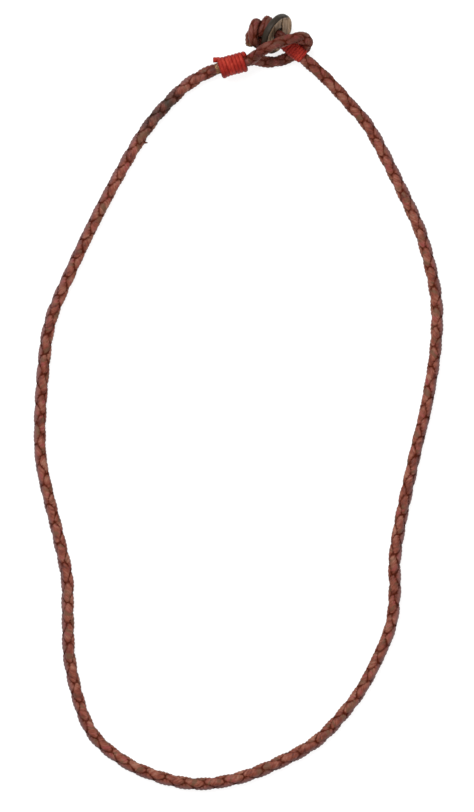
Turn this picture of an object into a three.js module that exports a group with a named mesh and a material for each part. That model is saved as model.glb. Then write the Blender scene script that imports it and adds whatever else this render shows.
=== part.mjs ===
// Braided leather necklace with a loop-and-button clasp, laid flat and closed.
// Millimetres. +Z is up from the surface that it lies on, +Y points to the clasp.
// One leather cord makes the neck, the closing loop and the stopper knot. It is split
// where a whipping hides the joint, and swept plain: its braid is a surface finish.

import * as THREE from 'three'

// Driving dimensions

const CORD_DIAMETER = 3.0
const BOUND_CORD_DIAMETER = 2.15
const CORD_SIDES = 8
const CORD_STEP = 6.5
const LOOP_STEP = 1.2
const KNOT_STEP = 0.7

const BUTTON_DIAMETER = 11
const BUTTON_THICKNESS = 1.9
const BUTTON_HOLE_DIAMETER = 3.2
const BUTTON_RIM_WIDTH = 0.9
const BUTTON_DISH_DEPTH = 0.3
const BUTTON_BACK_ROUNDING = 0.7
const BUTTON_FRONT_ROUNDING = 0.25
const BUTTON_CHAMFER_SHARE = 0.3
const BUTTON_SEGMENTS = 40
const BUTTON_CENTRE = new THREE.Vector3(10.1, 95.8, 5.45)
const BUTTON_HEADING = THREE.MathUtils.degToRad(-29.5)
const BUTTON_RISE = THREE.MathUtils.degToRad(27.5)

const KNOT_CENTRE = new THREE.Vector3(5.7, 96, 4.5)
const KNOT_RING_RADIUS = 2.75
const KNOT_PASS_RADIUS = 1.25
const KNOT_DIP = THREE.MathUtils.degToRad(20)
const KNOT_ROLL = THREE.MathUtils.degToRad(-12)
const KNOT_POINT_SPACING = Math.PI / 4

const THREAD_SIDES = 6
const THREAD_CLEARANCE = 0.1
const WRAP_POINTS = 12

const LOOP_THREAD_DIAMETER = 0.8
const LOOP_WHIPPING_TURNS = 7.2
const LOOP_WHIPPING_PITCH = 1.0
const LOOP_WHIPPING_START = new THREE.Vector3(-4.35, 86.85, 4.25)
const LOOP_WHIPPING_HEADING = THREE.MathUtils.degToRad(15.5)
const LOOP_THREAD_END = new THREE.Vector3(-6.1, 88.8, 6.4)
const LOOP_THREAD_STEP = 1.1
const LEG_SPACING = 3.3

const BUTTON_THREAD_DIAMETER = 0.62
const BUTTON_WHIPPING_TURNS = 6.5
const BUTTON_WHIPPING_PITCH = 0.78
const BUTTON_WHIPPING_START = 0.45
const BUTTON_THREAD_STEP = 0.7

// Routes, as x, y, z of the cord's middle

const NECK_ROUTE = [
  [-1, 87.8, 2.6],
  [-6, 86.5, 2.6],
  [-11, 84, 2],
  [-16, 80, 1.6],
  [-24.5, 70, 1.5],
  [-35.75, 50, 1.5],
  [-45.25, 30, 1.5],
  [-49, 20, 1.5],
  [-50.5, 10, 1.5],
  [-51.5, -5, 1.5],
  [-51.25, -15, 1.5],
  [-49.25, -25, 1.5],
  [-46.75, -35, 1.5],
  [-44.5, -46, 1.5],
  [-44.25, -56, 1.5],
  [-43.5, -69, 1.5],
  [-38.75, -85, 1.5],
  [-30, -93.5, 1.5],
  [-20, -98, 1.5],
  [-10, -99.75, 1.5],
  [0, -98.25, 1.5],
  [10, -94.5, 1.5],
  [20, -89, 1.5],
  [27.5, -81.5, 1.5],
  [33.5, -73, 1.5],
  [39.5, -60, 1.5],
  [41, -50, 1.5],
  [41, -41, 1.5],
  [42.75, -30, 1.5],
  [46, -15, 1.5],
  [49.5, 0, 1.5],
  [51.75, 15, 1.5],
  [51.75, 27, 1.5],
  [49, 40, 1.5],
  [45.25, 50, 1.5],
  [35.25, 70, 1.5],
  [29.5, 77.25, 1.6],
  [23.75, 83.5, 2.7],
  [20.5, 86.5, 4],
  [17.25, 89.35, 5.15]
]

// Out along the surface, up round the bound cord and back over the button.
const LOOP_ROUTE = [
  [-0.7, 87.86, 2.6],
  [3.1, 88.9, 2.6],
  [5.6, 88.8, 2.0],
  [8.4, 88.5, 1.7],
  [11.0, 88.85, 1.65],
  [13.2, 89.65, 1.65],
  [15.1, 90.6, 1.7],
  [16.6, 91.6, 2.1],
  [17.6, 92.6, 3.2],
  [18.0, 93.5, 5.2],
  [17.65, 94.25, 7.3],
  [16.3, 94.6, 9.1],
  [14.2, 94.3, 10.4],
  [12.0, 93.6, 11.1],
  [9.9, 92.85, 11.5],
  [8.0, 92.1, 11.3],
  [6.4, 91.15, 10.2],
  [5.1, 90.25, 8.3],
  [3.8, 89.3, 6.5],
  [2.6, 88.78, 5.92],
  [0.0, 88.06, 5.9],
  [-4.4, 86.84, 5.9],
  [-5.7, 86.48, 5.9]
]

const BOUND_ROUTE = [
  [17.0, 89.55, 5.2],
  [15.6, 90.85, 5.45],
  [14.2, 92.15, 5.7],
  [12.9, 93.45, 5.9],
  [11.7, 94.95, 5.95]
]

const KNOT_LEAD = [
  [8.3, 96.3, 4.4],
  [6.7, 97.1, 4.0]
]

const KNOT_TAIL = [
  [3.5, 95.7, 5.3],
  [3.3, 94.4, 4.5],
  [3.3, 93.1, 3.5]
]

// Finishes

const leather = new THREE.MeshStandardMaterial({ color: 0x86493a, roughness: 0.6, metalness: 0 })
const waxedThread = new THREE.MeshStandardMaterial({ color: 0x9c2e24, roughness: 0.7, metalness: 0 })
const horn = new THREE.MeshStandardMaterial({ color: 0x8a7458, roughness: 0.55, metalness: 0 })

// Shapes

const DOWN = new THREE.Vector3(0, 0, -1)

/** A smooth curve through a route's points. */
function smoothCurve(points) {
  return new THREE.CatmullRomCurve3(points, false, 'catmullrom', 0.5)
}

/** A smooth curve whose sections stay upright, so that a level stretch lies on one flat. */
class UprightCurve extends THREE.CatmullRomCurve3 {
  computeFrenetFrames(segments) {
    const tangents = []
    const normals = []
    const binormals = []
    for (let step = 0; step <= segments; step += 1) {
      const tangent = this.getTangentAt(step / segments)
      const normal = DOWN.clone().addScaledVector(tangent, -DOWN.dot(tangent)).normalize()
      tangents.push(tangent)
      normals.push(normal)
      binormals.push(new THREE.Vector3().crossVectors(tangent, normal))
    }
    return { tangents, normals, binormals }
  }
}

/** A regular section with flats to its four sides, as wide across the flats as the cord. */
function roundSection(diameter, sides) {
  const radius = diameter / 2 / Math.cos(Math.PI / sides)
  const corners = []
  for (let side = 0; side < sides; side += 1) {
    const angle = ((side + 0.5) * 2 * Math.PI) / sides
    corners.push(new THREE.Vector2(radius * Math.cos(angle), radius * Math.sin(angle)))
  }
  return new THREE.Shape(corners)
}

/** Sweeps a round section along a curve, in equal steps of about the length given. */
function sweep(curve, diameter, sides, step) {
  const steps = Math.round(curve.getLength() / step)
  return new THREE.ExtrudeGeometry(roundSection(diameter, sides), { extrudePath: curve, steps })
}

function toPoints(route) {
  return route.map(([x, y, z]) => new THREE.Vector3(x, y, z))
}

/** The unit vector that points a heading round from +X and a rise up from the surface. */
function direction(heading, rise) {
  return new THREE.Vector3(
    Math.cos(rise) * Math.cos(heading),
    Math.cos(rise) * Math.sin(heading),
    Math.sin(rise)
  )
}

/** The stopper knot: a trefoil wound twice round a ring, opened between lead and tail. */
function knotPoints() {
  const away = direction(BUTTON_HEADING + Math.PI, -KNOT_DIP)
  const across = new THREE.Vector3().crossVectors(away, DOWN).negate().normalize()
  const over = new THREE.Vector3().crossVectors(across, away).normalize()
  const points = []
  for (let index = 1; index * KNOT_POINT_SPACING <= 4 * Math.PI; index += 1) {
    const pass = Math.PI + index * KNOT_POINT_SPACING
    const turn = KNOT_ROLL + ((pass - Math.PI) * 2) / 3
    const radius = KNOT_RING_RADIUS + KNOT_PASS_RADIUS * Math.cos(pass)
    points.push(
      KNOT_CENTRE.clone()
        .addScaledVector(away, -KNOT_PASS_RADIUS * Math.sin(pass))
        .addScaledVector(across, radius * Math.cos(turn))
        .addScaledVector(over, radius * Math.sin(turn))
    )
  }
  return points
}

/** Points of a thread wound round a stretch of curve, or round two cords stacked on it. */
function windingPoints(axis, { start, turns, pitch, radius, halfRise }) {
  const points = []
  const length = axis.getLength()
  for (let index = 0; index <= turns * WRAP_POINTS; index += 1) {
    const along = (start + (index / WRAP_POINTS) * pitch) / length
    const angle = Math.PI - ((index + 0.5) * 2 * Math.PI) / WRAP_POINTS
    const tangent = axis.getTangentAt(along)
    const side = new THREE.Vector3().crossVectors(DOWN, tangent).normalize()
    const up = new THREE.Vector3().crossVectors(side, tangent).normalize()
    const lift = radius * Math.sin(angle) + Math.sign(Math.sin(angle)) * halfRise
    const point = axis.getPointAt(along).addScaledVector(side, radius * Math.cos(angle))
    points.push(point.addScaledVector(up, lift))
  }
  return points
}

// Pieces

function neckCord() {
  const curve = new UprightCurve(toPoints(NECK_ROUTE), false, 'catmullrom', 0.5)
  return sweep(curve, CORD_DIAMETER, CORD_SIDES, CORD_STEP)
}

function closingLoop() {
  return sweep(smoothCurve(toPoints(LOOP_ROUTE)), CORD_DIAMETER, CORD_SIDES, LOOP_STEP)
}

function knottedEnd() {
  const route = [
    ...toPoints(BOUND_ROUTE),
    BUTTON_CENTRE.clone(),
    ...toPoints(KNOT_LEAD),
    ...knotPoints(),
    ...toPoints(KNOT_TAIL)
  ]
  return sweep(smoothCurve(route), BOUND_CORD_DIAMETER, CORD_SIDES, KNOT_STEP)
}

/** A dished disc with a raised rim and a centre hole, turned about its own axis. */
function toggleButton() {
  const radius = BUTTON_DIAMETER / 2
  const half = BUTTON_THICKNESS / 2
  const hole = BUTTON_HOLE_DIAMETER / 2
  const chamfer = BUTTON_BACK_ROUNDING * BUTTON_CHAMFER_SHARE
  const profile = [
    [hole, -half],
    [radius - BUTTON_BACK_ROUNDING, -half],
    [radius - chamfer, -half + chamfer],
    [radius, -half + BUTTON_BACK_ROUNDING],
    [radius, half - BUTTON_FRONT_ROUNDING],
    [radius - BUTTON_FRONT_ROUNDING, half],
    [radius - BUTTON_RIM_WIDTH, half],
    [radius - BUTTON_RIM_WIDTH - BUTTON_DISH_DEPTH, half - BUTTON_DISH_DEPTH],
    [hole, half - BUTTON_DISH_DEPTH],
    [hole, -half]
  ]
  const outline = profile.map(([x, y]) => new THREE.Vector2(x, y))
  return new THREE.LatheGeometry(outline, BUTTON_SEGMENTS)
}

function loopWhipping() {
  const length = (LOOP_WHIPPING_TURNS + 1) * LOOP_WHIPPING_PITCH
  const finish = LOOP_WHIPPING_START.clone().addScaledVector(direction(LOOP_WHIPPING_HEADING, 0), length)
  const corner = CORD_DIAMETER / 2 / Math.cos(Math.PI / CORD_SIDES)
  const points = windingPoints(new THREE.LineCurve3(LOOP_WHIPPING_START, finish), {
    start: 0,
    turns: LOOP_WHIPPING_TURNS,
    pitch: LOOP_WHIPPING_PITCH,
    radius: corner + THREAD_CLEARANCE + LOOP_THREAD_DIAMETER / 2,
    halfRise: LEG_SPACING / 2
  })
  const thread = smoothCurve([LOOP_THREAD_END, ...points])
  return sweep(thread, LOOP_THREAD_DIAMETER, THREAD_SIDES, LOOP_THREAD_STEP)
}

function buttonWhipping() {
  const corner = BOUND_CORD_DIAMETER / 2 / Math.cos(Math.PI / CORD_SIDES)
  const points = windingPoints(smoothCurve(toPoints(BOUND_ROUTE)), {
    start: BUTTON_WHIPPING_START,
    turns: BUTTON_WHIPPING_TURNS,
    pitch: BUTTON_WHIPPING_PITCH,
    radius: corner + THREAD_CLEARANCE + BUTTON_THREAD_DIAMETER / 2,
    halfRise: 0
  })
  return sweep(smoothCurve(points), BUTTON_THREAD_DIAMETER, THREAD_SIDES, BUTTON_THREAD_STEP)
}

// Assembly

function piece(name, geometry, material) {
  const mesh = new THREE.Mesh(geometry, material)
  mesh.name = name
  return mesh
}

const cord = new THREE.Group()
cord.add(piece('neck_cord', neckCord(), leather))
cord.add(piece('closing_loop', closingLoop(), leather))
cord.add(piece('knotted_end', knottedEnd(), leather))

const button = piece('toggle_button', toggleButton(), horn)
button.position.copy(BUTTON_CENTRE)
button.quaternion.setFromUnitVectors(new THREE.Vector3(0, 1, 0), direction(BUTTON_HEADING, BUTTON_RISE))

const clasp = new THREE.Group()
clasp.add(button)
clasp.add(piece('loop_whipping', loopWhipping(), waxedThread))
clasp.add(piece('button_whipping', buttonWhipping(), waxedThread))

const necklace = new THREE.Group()
necklace.add(cord, clasp)

export default necklace
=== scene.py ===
"""Looks of a braided leather necklace, laid flat and closed by its loop over a horn button.

Sizes are in millimetres, and are turned to metres where Blender takes them. The frame is that of
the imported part: +Z up from the surface and +Y towards the clasp.
"""

import logging
import math
from collections.abc import Sequence
from dataclasses import dataclass, field
from enum import Enum

import bpy
import numpy as np
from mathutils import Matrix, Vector

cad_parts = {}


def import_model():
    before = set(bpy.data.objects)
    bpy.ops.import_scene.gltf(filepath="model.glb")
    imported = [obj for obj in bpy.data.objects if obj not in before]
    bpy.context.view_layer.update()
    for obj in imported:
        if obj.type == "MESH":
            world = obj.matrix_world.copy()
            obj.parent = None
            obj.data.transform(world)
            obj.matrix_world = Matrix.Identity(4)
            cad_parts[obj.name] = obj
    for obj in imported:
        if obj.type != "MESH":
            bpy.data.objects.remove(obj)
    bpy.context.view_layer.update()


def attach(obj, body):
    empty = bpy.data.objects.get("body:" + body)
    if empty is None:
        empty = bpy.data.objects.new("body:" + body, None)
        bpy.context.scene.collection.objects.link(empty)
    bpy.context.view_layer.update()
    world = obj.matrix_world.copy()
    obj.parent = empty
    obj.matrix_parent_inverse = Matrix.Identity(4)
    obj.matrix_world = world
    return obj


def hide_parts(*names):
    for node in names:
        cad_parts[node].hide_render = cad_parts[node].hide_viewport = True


Pair = tuple[float, float]
Triple = tuple[float, float, float]

log = logging.getLogger("necklace")

MM = 0.001
BODY = "root"
UP = np.array([0.0, 0.0, 1.0])


# Routes: the middle of the cord, point by point, as x, y, z.

LOOP_ROUTE = [
    (-0.7, 87.86, 2.6), (3.1, 88.9, 2.6), (5.6, 88.8, 2.0), (8.4, 88.5, 1.7),
    (11.0, 88.85, 1.65), (13.2, 89.65, 1.65), (15.1, 90.6, 1.7), (16.6, 91.6, 2.1),
    (17.6, 92.6, 3.2), (18.0, 93.5, 5.2), (17.65, 94.25, 7.3), (16.3, 94.6, 9.1),
    (14.2, 94.3, 10.4), (12.0, 93.6, 11.1), (9.9, 92.85, 11.5), (8.0, 92.1, 11.3),
    (6.4, 91.15, 10.2), (5.1, 90.25, 8.3), (3.8, 89.3, 6.5), (2.6, 88.78, 5.92),
    (0.0, 88.06, 5.9), (-4.4, 86.84, 5.9), (-5.7, 86.48, 5.9),
]
LOOP_BIGHT = LOOP_ROUTE[9]
NECK_ROUTE = [
    (-6.0, 86.5, 2.6), (-11.0, 84.0, 2.0), (-16.0, 80.0, 1.6),
    (-24.5, 70.0, 1.5), (-35.75, 50.0, 1.5), (-45.25, 30.0, 1.5), (-49.0, 20.0, 1.5),
    (-50.5, 10.0, 1.5), (-51.5, -5.0, 1.5), (-51.25, -15.0, 1.5), (-49.25, -25.0, 1.5),
    (-46.75, -35.0, 1.5), (-44.5, -46.0, 1.5), (-44.25, -56.0, 1.5), (-43.5, -69.0, 1.5),
    (-38.75, -85.0, 1.5), (-30.0, -93.5, 1.5), (-20.0, -98.0, 1.5), (-10.0, -99.75, 1.5),
    (0.0, -98.25, 1.5), (10.0, -94.5, 1.5), (20.0, -89.0, 1.5), (27.5, -81.5, 1.5),
    (33.5, -73.0, 1.5), (39.5, -60.0, 1.5), (41.0, -50.0, 1.5), (41.0, -41.0, 1.5),
    (42.75, -30.0, 1.5), (46.0, -15.0, 1.5), (49.5, 0.0, 1.5), (51.75, 15.0, 1.5),
    (51.75, 27.0, 1.5), (49.0, 40.0, 1.5), (45.25, 50.0, 1.5), (35.25, 70.0, 1.5),
    (29.5, 77.25, 1.6), (23.75, 83.5, 2.7), (20.5, 86.5, 4.0), (17.25, 89.35, 5.15),
]
BOUND_ROUTE = [
    (17.0, 89.55, 5.2), (15.6, 90.85, 5.45), (14.2, 92.15, 5.7), (12.9, 93.45, 5.9),
    (11.7, 94.95, 5.95),
]
KNOT_LEAD = [(8.3, 96.3, 4.4), (6.7, 97.1, 4.0)]
KNOT_TAIL = [(3.5, 95.7, 5.3), (3.3, 94.4, 4.5), (3.3, 93.1, 3.5)]

# Places, angles and sizes of the button, the knot and the thread on the loop.

BUTTON_CENTRE = (10.1, 95.8, 5.45)
BUTTON_HEADING = math.radians(-29.5)
BUTTON_RISE = math.radians(27.5)
KNOT_CENTRE = (5.7, 96.0, 4.5)
KNOT_RING_RADIUS = 2.75
KNOT_PASS_RADIUS = 1.25
KNOT_DIP = math.radians(20)
KNOT_ROLL = math.radians(-12)
LOOP_THREAD_START = (-4.35, 86.85, 4.25)
LOOP_THREAD_HEADING = math.radians(15.5)
LOOP_THREAD_REACH = 12.0


# Small tools


def linear(hex_colour: str) -> tuple[float, float, float, float]:
    """Turns an sRGB colour to the linear values that a shader takes.

    Args:
        hex_colour: Six hex digits after a hash sign.

    Returns:
        Red, green, blue and an alpha of one.
    """
    channels = (int(hex_colour[place : place + 2], 16) / 255 for place in (1, 3, 5))
    return (*((c / 12.92 if c <= 0.04045 else ((c + 0.055) / 1.055) ** 2.4) for c in channels), 1.0)


def set_inputs(
    tree: bpy.types.NodeTree, node: bpy.types.Node, inputs: dict[str | int, object]
) -> None:
    """Gives a node's inputs their values, or links them to other nodes' outputs.

    Args:
        tree: The node tree that the node is in.
        node: The node.
        inputs: A value or an output for each input named or numbered.
    """
    for socket, value in inputs.items():
        if isinstance(value, bpy.types.NodeSocket):
            tree.links.new(value, node.inputs[socket])
        else:
            node.inputs[socket].default_value = value


def add_node(
    tree: bpy.types.NodeTree,
    kind: str,
    inputs: dict[str | int, object] | None = None,
    stops: Sequence[tuple[float, object]] = (),
    **settings: object,
) -> bpy.types.Node:
    """Adds a node with its settings, its colour stops and its links.

    Args:
        tree: The node tree to add it to.
        kind: The node's type name.
        inputs: A value, or another node's output, for each input named or numbered.
        stops: Positions and colours, for a node that has a colour ramp.
        settings: The node's own properties.

    Returns:
        The new node.
    """
    node = tree.nodes.new(kind)
    for name, value in settings.items():
        setattr(node, name, value)
    for index, (place, colour) in enumerate(stops):
        elements = node.color_ramp.elements
        stop = elements[index] if index < 2 else elements.new(place)
        stop.position, stop.color = place, colour
    set_inputs(tree, node, inputs or {})
    return node


def new_material(name: str) -> tuple[bpy.types.Material, bpy.types.NodeTree, bpy.types.Node]:
    """Makes an empty node material with its shader joined to its output.

    Args:
        name: The material's name.

    Returns:
        The material, its node tree and its shader.
    """
    material = bpy.data.materials.new(name)
    material.use_nodes = True
    tree = material.node_tree
    tree.nodes.clear()
    shader = add_node(tree, "ShaderNodeBsdfPrincipled")
    add_node(tree, "ShaderNodeOutputMaterial", {"Surface": shader.outputs["BSDF"]})
    return material, tree, shader


def unit(vectors: np.ndarray) -> np.ndarray:
    """Scales vectors to length one, along their last axis."""
    return vectors / np.maximum(np.linalg.norm(vectors, axis=-1, keepdims=True), 1e-12)


def direction(heading: float, rise: float) -> np.ndarray:
    """Points a heading round from +X and a rise up from the surface, both in radians."""
    flat = math.cos(rise)
    return np.array([flat * math.cos(heading), flat * math.sin(heading), math.sin(rise)])


def ramp(value: np.ndarray, start: float, width: float) -> np.ndarray:
    """Rises from nothing at the start to one a width further on."""
    return np.clip((value - start) / width, 0, 1)


def add_object(name: str, data: bpy.types.ID) -> bpy.types.Object:
    """Makes an object and links it to the scene.

    Args:
        name: Its name.
        data: Its mesh, lamp or camera.

    Returns:
        The new object.
    """
    made = bpy.data.objects.new(name, data)
    bpy.context.scene.collection.objects.link(made)
    return made


@dataclass(frozen=True)
class Unevenness:
    """A smooth fault of handwork that comes and goes along a line.

    Args:
        size: About how large it gets, either way.
        wavelength: The longest of its waves.
        seed: Which unevenness, so that no fault repeats another.
    """

    size: float
    wavelength: float
    seed: int

    # Its waves: how many of each go into the longest, and their shares of the size.
    WAVES = ((1.0, 0.55), (1.9, 0.3), (3.7, 0.15))

    def at(self, place: np.ndarray, strand: int = 0) -> np.ndarray:
        """Reads it at some places.

        Args:
            place: Distances along the line, in the wavelength's unit.
            strand: The strand's number, so that each has its own.

        Returns:
            One value for each place.
        """
        draw = np.random.default_rng(self.seed + strand)
        total = np.zeros_like(place, dtype=float)
        for octave, share in self.WAVES:
            phase = draw.uniform(0, 2 * math.pi)
            total += share * np.sin(2 * math.pi * octave * place / self.wavelength + phase)
        return self.size * total


def smooth_line(points: Sequence[Sequence[float]], samples: int = 32) -> np.ndarray:
    """Runs a Catmull-Rom curve through points, each span in equal steps.

    Args:
        points: The points that it passes through.
        samples: Steps in each span.

    Returns:
        Points along the curve.
    """
    knots = np.array(points, dtype=float)
    padded = np.vstack([2 * knots[0] - knots[1], knots, 2 * knots[-1] - knots[-2]])
    t = (np.arange(samples) / samples)[:, None]
    spans = []
    for before, start, end, after in zip(padded, padded[1:], padded[2:], padded[3:]):
        spans.append(0.5 * (
            2 * start
            + (end - before) * t
            + (2 * before - 5 * start + 4 * end - after) * t**2
            + (3 * start - before - 3 * end + after) * t**3
        ))
    return np.vstack([*spans, knots[-1:]])


@dataclass
class Centreline:
    """A curve sampled evenly, with a steady frame that doesn't spin along it.

    Args:
        points: Points close together along the curve.
        step: The distance between samples.
        softening: The width over which its tightest bends are eased.
    """

    points: np.ndarray
    step: float = 0.1
    softening: float = 0.0
    places: np.ndarray = field(init=False)
    middles: np.ndarray = field(init=False)
    tangents: np.ndarray = field(init=False)
    normals: np.ndarray = field(init=False)

    def __post_init__(self) -> None:
        """Samples the curve and carries a frame along it."""
        self.middles = self._even(self.points)
        if self.softening > 0:
            self.middles = self._even(self._softened(self.middles))
        self.places = np.arange(len(self.middles)) * self.step
        self.tangents = unit(np.gradient(self.middles, axis=0))
        self.normals = self._steady_normals()

    @property
    def length(self) -> float:
        """The curve's length."""
        return float(self.places[-1])

    def _even(self, points: np.ndarray) -> np.ndarray:
        """Resamples points so that they lie one step apart.

        Args:
            points: Points along the curve.

        Returns:
            The new points.
        """
        run = np.concatenate([[0], np.cumsum(np.linalg.norm(np.diff(points, axis=0), axis=1))])
        count = round(run[-1] / self.step)
        places = np.linspace(0, run[-1], count + 1)
        return np.stack([np.interp(places, run, points[:, axis]) for axis in range(3)], axis=1)

    def _softened(self, points: np.ndarray) -> np.ndarray:
        """Averages each point with its neighbours, and keeps both ends where they are.

        Args:
            points: Points one step apart.

        Returns:
            The new points.
        """
        reach = max(1, round(self.softening / self.step))
        weights = np.hanning(2 * reach + 3)[1:-1]
        weights /= weights.sum()
        head = 2 * points[0] - points[1 : reach + 1][::-1]
        tail = 2 * points[-1] - points[-reach - 1 : -1][::-1]
        long = np.vstack([head, points, tail])
        return np.stack([np.convolve(long[:, axis], weights, "valid") for axis in range(3)], axis=1)

    def _steady_normals(self) -> np.ndarray:
        """Carries a normal along the curve by double reflection, upright halfway along it.

        Returns:
            A normal for each sample.
        """
        normals = np.empty_like(self.middles)
        first = UP - self.tangents[0] * (UP @ self.tangents[0])
        normals[0] = unit(first)
        for index in range(len(self.middles) - 1):
            chord = self.middles[index + 1] - self.middles[index]
            square = chord @ chord
            normal = normals[index] - 2 / square * (chord @ normals[index]) * chord
            tangent = self.tangents[index] - 2 / square * (chord @ self.tangents[index]) * chord
            turn = self.tangents[index + 1] - tangent
            square = turn @ turn
            if square > 1e-18:
                normal = normal - 2 / square * (turn @ normal) * turn
            normals[index + 1] = normal
        half = len(normals) // 2
        sides = np.cross(self.tangents, normals)
        turn = math.atan2(UP @ sides[half], UP @ normals[half])
        return unit(math.cos(turn) * normals + math.sin(turn) * sides)

    def near(self, point: Sequence[float]) -> float:
        """The distance along the curve of its sample nearest to a point."""
        gaps = np.linalg.norm(self.middles - np.array(point), axis=1)
        return float(self.places[int(gaps.argmin())])

    def at(self, places: np.ndarray) -> tuple[np.ndarray, np.ndarray, np.ndarray, np.ndarray]:
        """Reads the curve at some distances along it.

        Args:
            places: Distances along the curve.

        Returns:
            Middles, tangents, normals and the vectors square to both.
        """
        middles, tangents, normals = (
            np.stack([np.interp(places, self.places, rows[:, axis]) for axis in range(3)], axis=-1)
            for rows in (self.middles, self.tangents, self.normals)
        )
        tangents, normals = unit(tangents), unit(normals)
        return middles, tangents, normals, unit(np.cross(tangents, normals))

    def rings(self, places: np.ndarray, angle: np.ndarray, radius: np.ndarray) -> np.ndarray:
        """Sets points round the curve.

        Args:
            places: Distances along it.
            angle: Angles round it, by place and by point.
            radius: Radii, likewise.

        Returns:
            The points.
        """
        middles, _, normals, sides = self.at(places)
        return (
            middles[:, None]
            + (radius * np.cos(angle))[..., None] * normals[:, None]
            + (radius * np.sin(angle))[..., None] * sides[:, None]
        )


@dataclass
class Skin:
    """Gathers surfaces into one mesh, with named values on its vertices."""

    points: list[np.ndarray] = field(default_factory=list)
    faces: list[tuple[int, ...]] = field(default_factory=list)
    values: dict[str, list[np.ndarray]] = field(default_factory=dict)
    count: int = 0

    def add_tube(
        self, rings: np.ndarray, values: dict[str, np.ndarray], looped: bool = False
    ) -> None:
        """Adds a surface that runs through rings of points.

        Args:
            rings: Points, by ring and by place round the ring.
            values: Named values with the same two axes, one or three numbers each.
            looped: Whether the last ring joins the first. If not, both ends are closed.
        """
        rows, columns = rings.shape[:2]
        index = self.count + np.arange(rows * columns).reshape(rows, columns)
        following = np.roll(index, -1, axis=0) if looped else index[1:]
        leading = index if looped else index[:-1]
        quads = np.stack(
            [leading, np.roll(leading, -1, axis=1), np.roll(following, -1, axis=1), following],
            axis=-1,
        ).reshape(-1, 4)
        self.faces += list(map(tuple, quads.tolist()))
        if not looped:
            self.faces += [tuple(index[0][::-1].tolist()), tuple(index[-1].tolist())]
        self.points.append(rings.reshape(-1, 3))
        for name, value in values.items():
            self.values.setdefault(name, []).append(value.reshape(rows * columns, -1))
        self.count += rows * columns

    def build(self, name: str, finish: bpy.types.Material) -> bpy.types.Object:
        """Makes the mesh object.

        Args:
            name: The piece's name.
            finish: Its material.

        Returns:
            The new object, linked to the scene.
        """
        mesh = bpy.data.meshes.new(name)
        mesh.from_pydata((np.vstack(self.points) * MM).tolist(), [], self.faces)
        mesh.materials.append(finish)
        mesh.polygons.foreach_set("use_smooth", [True] * len(self.faces))
        for label, parts in self.values.items():
            data = np.vstack(parts).astype(np.float32)
            kind, key = ("FLOAT_VECTOR", "vector") if data.shape[1] == 3 else ("FLOAT", "value")
            mesh.attributes.new(label, kind, "POINT").data.foreach_set(key, data.ravel())
        mesh.update()
        return add_object(name, mesh)


def place_piece(piece: bpy.types.Object, replaced: Sequence[str]) -> None:
    """Puts a piece on the part's body, and hides the CAD nodes that it stands for.

    Args:
        piece: The piece.
        replaced: The CAD nodes that it stands for.
    """
    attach(piece, BODY)
    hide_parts(*replaced)
    log.info("%s: %d faces, for %s", piece.name, len(piece.data.polygons), ", ".join(replaced))


# Finishes


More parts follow.
